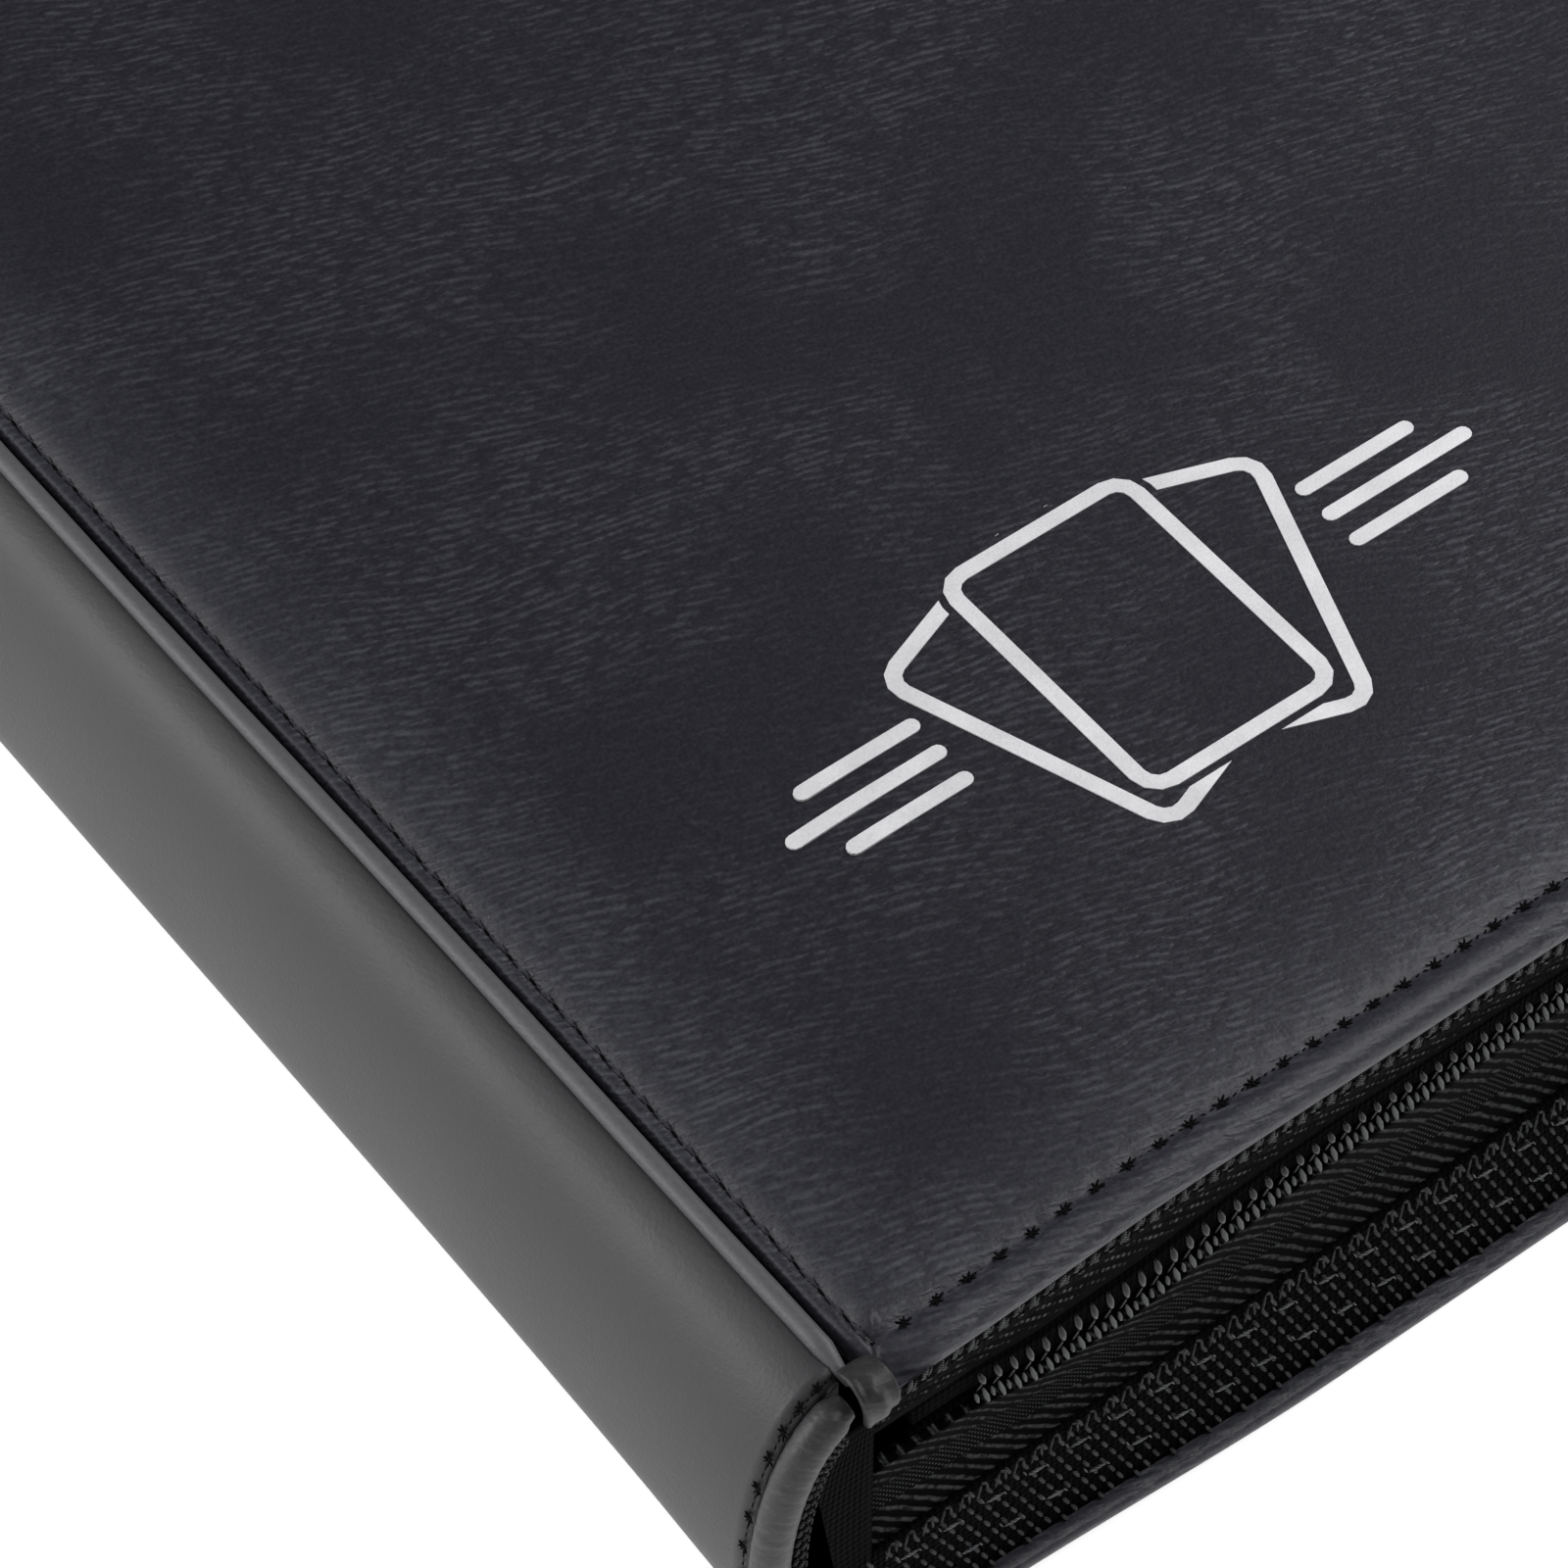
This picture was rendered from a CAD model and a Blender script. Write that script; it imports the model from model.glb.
"""Zip-round pocket binder: padded covers, soft spine, coil zipper, webbing gusset and pocket pages."""

import math
import random

import bmesh
import bpy
from mathutils import Matrix, Vector
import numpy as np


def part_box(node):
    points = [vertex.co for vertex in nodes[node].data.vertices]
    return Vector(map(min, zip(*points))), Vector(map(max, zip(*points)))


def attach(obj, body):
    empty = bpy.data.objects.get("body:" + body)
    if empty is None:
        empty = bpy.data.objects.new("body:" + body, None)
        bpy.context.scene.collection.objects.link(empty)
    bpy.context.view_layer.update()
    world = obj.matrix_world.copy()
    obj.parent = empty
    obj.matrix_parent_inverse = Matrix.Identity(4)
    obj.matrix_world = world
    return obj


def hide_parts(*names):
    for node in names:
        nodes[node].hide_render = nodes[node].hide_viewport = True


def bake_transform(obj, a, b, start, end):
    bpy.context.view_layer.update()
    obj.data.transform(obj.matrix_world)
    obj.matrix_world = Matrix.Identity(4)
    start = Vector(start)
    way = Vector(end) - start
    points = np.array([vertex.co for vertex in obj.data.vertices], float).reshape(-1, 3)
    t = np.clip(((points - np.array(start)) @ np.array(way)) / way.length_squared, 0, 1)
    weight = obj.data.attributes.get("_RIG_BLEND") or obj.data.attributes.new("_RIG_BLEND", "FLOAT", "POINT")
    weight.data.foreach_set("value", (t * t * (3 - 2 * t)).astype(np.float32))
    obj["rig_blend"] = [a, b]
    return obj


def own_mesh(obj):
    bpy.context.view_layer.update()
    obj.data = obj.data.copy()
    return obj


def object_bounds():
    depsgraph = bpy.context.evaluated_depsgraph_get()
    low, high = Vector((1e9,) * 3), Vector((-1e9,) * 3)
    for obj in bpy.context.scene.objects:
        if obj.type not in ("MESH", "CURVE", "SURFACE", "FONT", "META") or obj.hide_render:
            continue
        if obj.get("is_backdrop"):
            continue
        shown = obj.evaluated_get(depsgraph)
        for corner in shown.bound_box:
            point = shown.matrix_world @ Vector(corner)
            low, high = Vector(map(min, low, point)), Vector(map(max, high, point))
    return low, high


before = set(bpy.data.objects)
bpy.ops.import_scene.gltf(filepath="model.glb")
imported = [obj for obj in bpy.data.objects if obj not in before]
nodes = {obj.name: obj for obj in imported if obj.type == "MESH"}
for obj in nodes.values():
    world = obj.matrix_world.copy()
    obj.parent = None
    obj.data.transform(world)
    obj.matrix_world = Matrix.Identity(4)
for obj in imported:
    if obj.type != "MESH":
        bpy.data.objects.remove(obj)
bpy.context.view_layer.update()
MM = 0.001


# ---- sizes, in millimetres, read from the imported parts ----


def reach(node):
    """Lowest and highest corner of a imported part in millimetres."""
    low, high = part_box(node)
    return low / MM, high / MM


front_low, front_high = reach("front_skin")
seam_low, seam_high = reach("front_seam")
spine_low, spine_high = reach("spine_skin")
chain_low, chain_high = reach("upper_coil")
row_low, row_high = reach("lower_coil")
web_low, web_high = reach("gusset_webbing")
edge_low, edge_high = reach("edge_webbing")
upper_low, upper_high = reach("upper_tape")
lower_low, lower_high = reach("lower_tape")
roll_low, roll_high = reach("binding_roll")

TOP = front_high.z
MID = TOP / 2
HEAD = front_high.y
FORE = front_high.x
SPINE_SIDE = front_low.x
SEAM = (seam_low.x + seam_high.x) / 2
CORNER = 14.0
CHAIN = (chain_high.z + row_low.z) / 2
PITCH = 2.75
TOOTH = 1.4
RIB = 0.8
RIB_RISE = 2.2
COVER_RISE = 1.5
CHAIN_RISE = 1.35
CHAIN_SAG = 1.7
GUSSET_SPREAD = 1.4

STRAIGHT = FORE - CORNER - SPINE_SIDE
ARC = CORNER * math.pi / 2
LONG = 2 * (HEAD - CORNER)
ROUND = 2 * STRAIGHT + 2 * ARC + LONG


def ease(x, low=0.0, high=1.0):
    """Smooth step from 0 at low to 1 at high."""
    t = max(0.0, min(1.0, (x - low) / (high - low)))
    return t * t * (3 - 2 * t)


def mix(a, b, t):
    return a + (b - a) * t


def walk(s, inset):
    """Point and outward direction at distance s along the three zipped edges, from the tail of the spine."""
    if s <= STRAIGHT:
        return SPINE_SIDE + s, -HEAD + inset, 0.0, -1.0
    s -= STRAIGHT
    if s <= ARC:
        a = s / CORNER - math.pi / 2
        c, d = math.cos(a), math.sin(a)
        return FORE - CORNER + (CORNER - inset) * c, -HEAD + CORNER + (CORNER - inset) * d, c, d
    s -= ARC
    if s <= LONG:
        return FORE - inset, -HEAD + CORNER + s, 1.0, 0.0
    s -= LONG
    if s <= ARC:
        a = s / CORNER
        c, d = math.cos(a), math.sin(a)
        return FORE - CORNER + (CORNER - inset) * c, HEAD - CORNER + (CORNER - inset) * d, c, d
    s -= ARC
    return FORE - CORNER - s, HEAD - inset, 0.0, 1.0


def settle(x, y, z, front):
    """Rise of the front cover, sag of the zip and spread of the gusset, near the spine's tail corner."""
    far = x - SPINE_SIDE
    near = (1 - ease(far, 110, 200)) * (1 - ease(y + HEAD, 60, 190))
    chain = CHAIN_RISE * ease(far, 28, 42) - CHAIN_SAG * ease(far, 8, 15) * (1 - ease(far, 22, 32))
    if front:
        t = max(0.0, min(1.0, (z - CHAIN - 1) / (edge_low.z - CHAIN - 1)))
        return x, y, z + near * mix(chain, COVER_RISE * ease(far, 3, 28) - 0.2, t)
    t = max(0.0, min(1.0, (z - web_high.z) / (CHAIN - web_high.z)))
    spread = near * (1 - ease(y + HEAD, 0, 25)) * (GUSSET_SPREAD * ease(far, 6, 42) - 0.35)
    return x, y - spread * (1 - max(0.0, min(1.0, z / web_high.z))), z + near * chain * t


# ---- mesh making ----


def new_shape():
    shape = bmesh.new()
    shape.verts.layers.int.new("column")
    shape.verts.layers.float.new("along")
    shape.verts.layers.float.new("across")
    return shape


def loft(shape, rows, along=None, across=None):
    """Extrudes a chain of edges through rows of points, and notes how far each point is along and across."""
    column = shape.verts.layers.int["column"]
    u, v = shape.verts.layers.float["along"], shape.verts.layers.float["across"]
    along = along or list(range(len(rows[0])))
    across = across or list(range(len(rows)))
    chain = []
    for i, point in enumerate(rows[0]):
        vert = shape.verts.new(point)
        vert[column], vert[u], vert[v] = i, along[i], across[0]
        chain.append(vert)
    edges = [shape.edges.new(pair) for pair in zip(chain, chain[1:])]
    for row, far in zip(rows[1:], across[1:]):
        grown = bmesh.ops.extrude_edge_only(shape, edges=edges)["geom"]
        verts = {g for g in grown if isinstance(g, bmesh.types.BMVert)}
        for vert in verts:
            vert.co = row[vert[column]]
            vert[v] = far
        edges = [g for g in grown if isinstance(g, bmesh.types.BMEdge) and verts.issuperset(g.verts)]
    return shape


def lay_uv(shape):
    """UV map from the distances along and across, in millimetres."""
    u, v = shape.verts.layers.float["along"], shape.verts.layers.float["across"]
    flow = shape.loops.layers.uv.new("flow")
    for face in shape.faces:
        for loop in face.loops:
            loop[flow].uv = (loop.vert[u], loop.vert[v])


def close_ends(shape):
    """Fills open loops, such as the two ends of a tube."""
    rim = [e for e in shape.edges if e.is_boundary]
    if rim:
        bmesh.ops.holes_fill(shape, edges=rim, sides=0)


def piece(name, shape, material, weld=0.0005, caps=True, fix=True, smooth=True, soft=None):
    """Turns a shape in millimetres into an object in metres; soft pieces settle with their cover."""
    for vert in shape.verts if soft else ():
        vert.co = settle(*vert.co, soft == "front")
    if not shape.loops.layers.uv:
        lay_uv(shape)
    if weld:
        bmesh.ops.remove_doubles(shape, verts=shape.verts, dist=weld)
    if caps:
        close_ends(shape)
    if fix:
        bmesh.ops.recalc_face_normals(shape, faces=shape.faces)
    bmesh.ops.scale(shape, vec=(MM, MM, MM), verts=shape.verts)
    for face in shape.faces:
        face.smooth = smooth
    mesh = bpy.data.meshes.new(name)
    shape.to_mesh(mesh)
    shape.free()
    mesh.materials.append(material)
    thing = bpy.data.objects.new(name, mesh)
    bpy.context.scene.collection.objects.link(thing)
    return thing


def repeat(shape, count, step):
    """Copies a cell in a row, doubling what is there until count cells are made."""
    verts, edges, faces = len(shape.verts), len(shape.edges), len(shape.faces)
    made = 1
    while made < count:
        take = min(made, count - made)
        for part in (shape.verts, shape.edges, shape.faces):
            part.ensure_lookup_table()
        cell = shape.verts[: verts * take] + shape.edges[: edges * take] + shape.faces[: faces * take]
        copy = bmesh.ops.duplicate(shape, geom=cell)["geom"]
        moved = [g for g in copy if isinstance(g, bmesh.types.BMVert)]
        bmesh.ops.translate(shape, vec=Vector(step) * made, verts=moved)
        made += take


def wrap(shape, start=0.0):
    """Takes a shape laid out as (along, outward, up) round the three zipped edges."""
    for vert in shape.verts:
        s, out, z = vert.co
        x, y, nx, ny = walk(s + start, 0.0)
        vert.co = (x + nx * out, y + ny * out, z)


def grain(shape, base, tip, radius, sides=6, taper=0.75, flat=1.0, rings=4):
    """Adds one rounded strand from base to tip, thickest in the middle."""
    base, tip = Vector(base), Vector(tip)
    reach_along = tip - base
    made = bmesh.ops.create_uvsphere(shape, u_segments=sides, v_segments=rings, radius=1.0)["verts"]
    turn = reach_along.to_track_quat("Z", "Y").to_matrix().to_4x4()
    size = Matrix.Diagonal((radius, radius * flat, reach_along.length / 2, 1.0))
    for vert in made:
        z = vert.co.z
        fat = mix(1.0, taper, abs(z)) if abs(z) < 0.99 else 1.0
        vert.co = (vert.co.x * fat, vert.co.y * fat, z)
    bmesh.ops.transform(shape, matrix=Matrix.Translation((base + tip) / 2) @ turn @ size, verts=made)


def pour(shape, cell):
    """Adds a small finished cell to a large shape."""
    mesh = bpy.data.meshes.new("cell")
    cell.to_mesh(mesh)
    cell.free()
    shape.from_mesh(mesh)
    bpy.data.meshes.remove(mesh)


def band(shape, z_values, inset, thick, lengths, bulge=None, start=0.0, stop=ROUND):
    """Closed strip round the zipped edges, with its outer face through z_values, bulging by bulge(s, z)."""
    columns = [mix(start, stop, i / lengths) for i in range(lengths + 1)]
    rows, across = [], []
    for z in z_values:
        row = []
        for s in columns:
            x, y, nx, ny = walk(s, inset)
            out = bulge(s, z) if bulge else 0.0
            row.append((x + nx * out, y + ny * out, z))
        rows.append(row)
        across.append(z)
    for z in (z_values[-1], z_values[0]):
        rows.append([(*walk(s, inset + thick)[:2], z) for s in columns])
        across.append(z)
    rows.append(rows[0])
    across.append(z_values[0])
    return loft(shape, rows, columns, across)


def tube(shape, path, radii, normals, sides=6, along=None):
    """Closed tube along a path; normals give where its first side faces, radii its (width, height)."""
    count = len(path)
    rows = []
    frames = []
    for i in range(count):
        ahead = Vector(path[min(i + 1, count - 1)]) - Vector(path[max(i - 1, 0)])
        ahead.normalize()
        up = Vector(normals[i])
        side = ahead.cross(up).normalized()
        frames.append((side, side.cross(ahead).normalized()))
    for k in range(sides + 1):
        a = 2 * math.pi * k / sides
        row = []
        for i in range(count):
            side, up = frames[i]
            wide, high = radii[i]
            row.append(Vector(path[i]) + side * (wide * math.cos(a)) + up * (high * math.sin(a)))
        rows.append(row)
    turns = [k / sides * 2 * math.pi * max(r[0] for r in radii) for k in range(sides + 1)]
    return loft(shape, rows, along, turns)


# ---- materials ----


class Wire:
    """One value in a material; sums and products of wires add their maths nodes."""

    def __init__(self, graph, socket):
        self.graph, self.socket = graph, socket

    def math(self, operation, *others):
        values = {i + 1: other for i, other in enumerate(others)}
        return self.graph.add("ShaderNodeMath", {"operation": operation}, {0: self, **values})

    def from_left(self, operation, left):
        return self.graph.add("ShaderNodeMath", {"operation": operation}, {0: left, 1: self})

    def __add__(self, other):
        return self.math("ADD", other)

    def __radd__(self, other):
        return self.from_left("ADD", other)

    def __sub__(self, other):
        return self.math("SUBTRACT", other)

    def __rsub__(self, other):
        return self.from_left("SUBTRACT", other)

    def __mul__(self, other):
        return self.math("MULTIPLY", other)

    def __rmul__(self, other):
        return self.from_left("MULTIPLY", other)

    def __truediv__(self, other):
        return self.math("DIVIDE", other)

    def sine(self):
        return self.math("SINE")

    def size(self):
        return self.math("ABSOLUTE")

    def part(self):
        return self.math("FRACT")

    def fence(self, low, high, a=0.0, b=1.0):
        """Smooth step from a at low to b at high."""
        setting = {"interpolation_type": "SMOOTHSTEP"}
        sockets = {"Value": self, "From Min": low, "From Max": high, "To Min": a, "To Max": b}
        return self.graph.add("ShaderNodeMapRange", setting, sockets)


class Finish:
    """One material with a principled shader."""

    def __init__(self, name, **constants):
        self.material = bpy.data.materials.new(name)
        self.material.use_nodes = True
        self.tree = self.material.node_tree
        self.tree.nodes.clear()
        self.output = self.tree.nodes.new("ShaderNodeOutputMaterial")
        self.shader = self.tree.nodes.new("ShaderNodeBsdfPrincipled")
        self.tree.links.new(self.shader.outputs[0], self.output.inputs[0])
        for socket, value in constants.items():
            self.shader.inputs[socket.replace("_", " ")].default_value = value

    def add(self, kind, settings=None, sockets=None, out=0):
        node = self.tree.nodes.new(kind)
        for key, value in (settings or {}).items():
            setattr(node, key, value)
        for key, value in (sockets or {}).items():
            if isinstance(value, Wire):
                self.tree.links.new(value.socket, node.inputs[key])
            else:
                node.inputs[key].default_value = value
        return Wire(self, node.outputs[out])

    def feed(self, socket, wire):
        self.tree.links.new(wire.socket, self.shader.inputs[socket])

    def place(self):
        """Object coordinates in millimetres."""
        at = self.add("ShaderNodeTexCoord", out="Object")
        return self.add("ShaderNodeVectorMath", {"operation": "SCALE"}, {0: at, "Scale": 1000.0})

    def flow(self):
        """Along and across, in millimetres, from the piece's own UV map."""
        uv = self.add("ShaderNodeUVMap", {"uv_map": "flow"})
        return self.split(uv)[:2]

    def split(self, vector):
        node = self.tree.nodes.new("ShaderNodeSeparateXYZ")
        self.tree.links.new(vector.socket, node.inputs[0])
        return [Wire(self, o) for o in node.outputs]

    def join(self, x=0.0, y=0.0, z=0.0):
        return self.add("ShaderNodeCombineXYZ", {}, {0: x, 1: y, 2: z})

    def noise(self, at, scale, detail=2.0, rough=0.5):
        sockets = {"Vector": at, "Scale": scale, "Detail": detail, "Roughness": rough}
        return self.add("ShaderNodeTexNoise", {}, sockets)

    def blend(self, t, low, high):
        """Colour between low and high."""
        sockets = {"Factor": t, 6: low, 7: high}
        return self.add("ShaderNodeMix", {"data_type": "RGBA"}, sockets, out=2)

    def bump(self, height, distance, strength=1.0):
        sockets = {"Height": height, "Distance": distance, "Strength": strength}
        self.feed("Normal", self.add("ShaderNodeBump", {}, sockets))


def grey(value, blue=1.12):
    return (value, value * 1.02, value * blue, 1.0)


def tint(value):
    """Grey with the faint warmth of the lighter trim."""
    return (value * 1.03, value, value * 1.07, 1.0)


def leathercloth(name, dark, light, lean, crease, patchy, seam=False):
    """Soft coated cloth with fine rippling creases that lean across the panel, stronger in patches."""
    skin = Finish(name, IOR=1.45, Specular_IOR_Level=0.3)
    at = skin.place()
    turned = skin.add("ShaderNodeMapping", {}, {"Vector": at, "Rotation": (0.0, 0.0, lean)})
    x, y, z = skin.split(turned)
    sway = skin.noise(at, 0.05, 1.0)
    lines = (y + z + (sway - 0.5) * 7.0) * (2 * math.pi / 0.76)
    broken = skin.noise(skin.join(x * 0.6, y * 1.5, z * 1.5), 1.0, 2.0, 0.6).fence(0.4, 0.62)
    ripple = (lines.sine() * 0.5 + 0.5) * broken
    blotch = skin.noise(skin.join(x * 0.9, y * 2.2, z * 2.2), 1.0, 2.0, 0.6)
    patch = skin.noise(at, 0.045, 3.0).fence(0.38, 0.62, 1.0 - patchy, 1.0)
    fine = skin.noise(at, 3.2, 3.0, 0.65)
    height = (ripple * 0.5 + (blotch - 0.5) * 0.9) * patch * crease + fine * 0.35
    tone = (ripple * 0.44 + (blotch - 0.5) * 0.65) * patch * crease + (fine - 0.5) * 0.7 + 0.15
    roughness = fine * 0.16 + patch * 0.06 + 0.33
    if seam:
        u, v = skin.flow()
        tone = tone + v.fence(3.2, 15.0, 0.27, 0.0) * v.fence(2.4, 3.4, 0.5, 1.0)
        tone = tone + v.fence(0.9, 2.4, 0.22, 0.0)
        to_hole = ((u / PITCH + 0.5).part() - 0.5) * PITCH
        hole = (to_hole.size() * 0.62 + (v - 3.2).size() * 1.1) / (skin.noise(at, 2.2, 2.0) * 0.3 + 0.2)
        tone = tone * hole.fence(0.55, 1.1)
    skin.feed("Base Color", skin.blend(tone.fence(-0.05, 1.25), dark, light))
    skin.feed("Roughness", roughness)
    skin.bump(height, 0.0001)
    return skin.material


def yarn_cloth(name, dark, light, weave, rough=0.75, shine=0.06):
    """Woven goods: weave(finish) gives the height of the yarns from 0 to 1."""
    cloth = Finish(name, IOR=1.45, Specular_IOR_Level=shine)
    height = weave(cloth)
    fuzz = cloth.noise(cloth.place(), 4.0, 3.0, 0.7)
    worn = cloth.noise(cloth.place(), 0.15, 2.0)
    tone = height * (fuzz * 0.5 + 0.55) * (worn * 0.5 + 0.75)
    cloth.feed("Base Color", cloth.blend(tone.fence(0.05, 1.0), dark, light))
    cloth.feed("Roughness", fuzz * 0.2 + (rough - 0.1))
    cloth.bump(height * 0.8 + fuzz * 0.25, 0.00018)
    return cloth.material


def yarns(cloth, u, v, pitch, lean, sharp=0.35):
    """Height of slanting yarns, one every pitch along u, leaning by lean for each step of v."""
    return (((u + v * lean) * (2 * math.pi / pitch)).sine() * 0.5 + 0.5).fence(sharp, 1.0)


def tape_weave(cloth):
    """Slanted rows, a plain band, then slanted rows again, as a zip tape is woven."""
    u, v = cloth.flow()
    wander = cloth.noise(cloth.place(), 0.8, 1.0) * 0.5
    long_rows = yarns(cloth, u + wander, v, TOOTH, 1.15, 0.3)
    plain = yarns(cloth, u, v, 0.52, 0.9, 0.2) * yarns(cloth, u, v, 0.62, -1.1, 0.1)
    twist = yarns(cloth, u, v, 0.42, -1.6, 0.0) * 0.6 + 0.4
    twist = twist * cloth.noise(cloth.place(), 2.0, 2.0).fence(0.32, 0.62, 0.35, 1.0)
    low = lower_low.z
    plain_band = (v - (low + 8.8)).size().fence(1.1, 1.5, 1.0, 0.0)
    return long_rows * twist * (1.0 - plain_band) + plain * plain_band * 0.8


def upper_weave(cloth):
    u, v = cloth.flow()
    rows = yarns(cloth, u, v, 2.0, 2.6, 0.35)
    cross = yarns(cloth, u, v, 0.6, -0.5, 0.0) * 0.7 + 0.3
    torn = cloth.noise(cloth.place(), 1.6, 2.0).fence(0.35, 0.6, 0.2, 1.0)
    return rows * cross * torn * v.fence(upper_low.z + 0.7, upper_low.z + 1.8, 0.1, 1.0)


def plain_weave(cloth):
    x, y, z = cloth.split(cloth.place())
    warp = (x * (2 * math.pi / 0.55)).sine()
    weft = (y * (2 * math.pi / 0.55)).sine()
    return warp * weft * 0.5 + 0.5


def band_weave(cloth):
    u, v = cloth.flow()
    return yarns(cloth, u, v, 0.55, 0.0, 0.1) * 0.6 + yarns(cloth, v, u, 0.7, 0.0, 0.1) * 0.4


def yarn_strand(name, low, high, rough=0.6, shine=0.15):
    """Twisted thread or yarn for modelled strands."""
    strand = Finish(name, IOR=1.45, Specular_IOR_Level=shine)
    at = strand.place()
    x, y, z = strand.split(at)
    twist = ((x + y + z * 1.4) * (2 * math.pi / 0.33)).sine() * 0.5 + 0.5
    tone = strand.noise(at, 1.3, 3.0) * 0.7 + twist * 0.3
    strand.feed("Base Color", strand.blend(tone.fence(0.2, 0.8), low, high))
    strand.feed("Roughness", tone * 0.2 + (rough - 0.1))
    strand.bump(twist, 0.00006)
    return strand.material


cover_skin = leathercloth("cover_leathercloth", grey(0.0045, 1.9), grey(0.05, 1.22), 0.32, 1.0, 0.8, seam=True)
spine_skin = leathercloth("spine_leathercloth", tint(0.028), tint(0.05), 1.2, 0.12, 0.4)
trim_skin = leathercloth("trim_leathercloth", tint(0.022), tint(0.08), 0.8, 0.35, 0.4)
tab_skin = leathercloth("tab_leathercloth", tint(0.012), tint(0.05), 0.5, 0.4, 0.1)
ridge_skin = leathercloth("ridge_leathercloth", tint(0.06), tint(0.12), 0.8, 0.3, 0.4)
stitch_thread = yarn_strand("stitch_thread", grey(0.0006), grey(0.004), 0.6, 0.05)
braid_yarn = yarn_strand("braid_yarn", grey(0.006), grey(0.1, 1.05), 0.6)
rib_yarn = yarn_strand("rib_yarn", grey(0.006), grey(0.06, 1.05), 0.65, 0.1)
gusset_thread = yarn_strand("gusset_thread", grey(0.03), grey(0.13, 1.05), 0.6)
web_base = yarn_cloth("webbing_ground", grey(0.0004), grey(0.002), band_weave, shine=0.02)
lower_cloth = yarn_cloth("lower_tape_cloth", grey(0.0004), grey(0.075, 1.05), tape_weave, shine=0.02)
upper_cloth = yarn_cloth("upper_tape_cloth", grey(0.0004), grey(0.08, 1.05), upper_weave, shine=0.02)
lining_cloth = yarn_cloth("lining_cloth", grey(0.008), grey(0.028), plain_weave, shine=0.2)
binding_cloth = yarn_cloth("binding_cloth", grey(0.006), grey(0.024), band_weave, shine=0.2)


def coil_nylon():
    nylon = Finish("coil_nylon", IOR=1.5, Specular_IOR_Level=0.13)
    rub = nylon.noise(nylon.place(), 0.9, 1.0)
    nylon.feed("Base Color", nylon.blend(rub, grey(0.0008), grey(0.006)))
    nylon.feed("Roughness", rub * 0.1 + 0.06)
    nylon.bump(rub, 0.00001)
    return nylon.material


def leg_nylon():
    nylon = Finish("coil_leg_nylon", IOR=1.5, Specular_IOR_Level=0.1)
    rub = nylon.noise(nylon.place(), 0.9, 3.0)
    nylon.feed("Base Color", nylon.blend(rub, grey(0.03), grey(0.12, 1.03)))
    nylon.feed("Roughness", rub * 0.2 + 0.42)
    nylon.bump(rub, 0.00003)
    return nylon.material


def silver_foil():
    foil = Finish("silver_foil", IOR=1.5, Metallic=0.35)
    at = foil.place()
    speck = foil.noise(at, 5.0, 4.0, 0.7)
    soft = foil.noise(at, 0.25, 2.0)
    tone = speck * 0.5 + soft * 0.5
    foil.feed("Base Color", foil.blend(tone.fence(0.25, 0.75), (0.5, 0.5, 0.515, 1), (0.66, 0.66, 0.68, 1)))
    foil.feed("Roughness", speck * 0.2 + 0.42)
    foil.bump(speck, 0.00002)
    return foil.material


def slider_metal():
    metal = Finish("slider_enamel", Metallic=0.85, Coat_Weight=0.35, Coat_Roughness=0.2)
    at = metal.place()
    rub = metal.noise(at, 0.7, 4.0, 0.6)
    speck = metal.noise(at, 6.0, 2.0)
    metal.feed("Base Color", metal.blend(rub.fence(0.45, 0.75), (0.02, 0.02, 0.022, 1), (0.07, 0.07, 0.075, 1)))
    metal.feed("Roughness", speck * 0.15 + rub * 0.15 + 0.2)
    metal.bump(speck * 0.4 + rub * 0.6, 0.00003)
    return metal.material


def page_sheet():
    sheet = Finish("pocket_page", IOR=1.5, Specular_IOR_Level=0.5, Coat_Weight=0.7, Coat_Roughness=0.08)
    at = sheet.place()
    cockle = sheet.noise(at, 0.035, 2.0)
    haze = sheet.noise(at, 0.5, 3.0)
    sheet.feed("Base Color", sheet.blend(haze, (0.012, 0.012, 0.014, 1), (0.03, 0.031, 0.034, 1)))
    sheet.feed("Roughness", haze * 0.15 + 0.16)
    sheet.bump(cockle + haze * 0.03, 0.0006)
    return sheet.material


def grey_board():
    board = Finish("grey_board", IOR=1.45)
    at = board.place()
    x, y, z = board.split(at)
    pulp = board.noise(board.join(x * 0.6, y * 0.6, z * 6.0), 1.0, 4.0, 0.7)
    board.feed("Base Color", board.blend(pulp, (0.17, 0.16, 0.15, 1), (0.3, 0.29, 0.27, 1)))
    board.feed("Roughness", pulp * 0.1 + 0.82)
    board.bump(pulp, 0.0001)
    return board.material


cord_core = yarn_cloth("coil_cord", grey(0.0004), grey(0.003), band_weave, shine=0.02)
nylon_head = coil_nylon()
nylon_leg = leg_nylon()
foil_finish = silver_foil()
enamel = slider_metal()
page_finish = page_sheet()
board_finish = grey_board()


# ---- covers ----

# inset from the edge, drop below the crest, depth of the dents at the stitch holes
FREE_EDGE = [
    (2.6, 2.95, 0), (2.6, 2.2, 0), (1.0, 2.2, 0), (0.3, 2.2, 0), (0.05, 1.95, 0), (0.0, 1.55, 0),
    (0.05, 1.15, 0), (0.2, 0.78, 0), (0.5, 0.46, 0), (0.9, 0.2, 0), (1.35, 0.03, 0), (1.8, 0.0, 0.02),
    (2.25, 0.12, 0.04), (2.7, 0.32, 0.08), (3.0, 0.46, 0.16), (3.2, 0.5, 0.22), (3.4, 0.44, 0.16),
    (3.7, 0.28, 0.08),
    (4.2, 0.1, 0.04), (5.0, -0.06, 0.01), (6.5, -0.17, 0), (9.0, -0.24, 0), (13.0, -0.28, 0),
]
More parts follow.
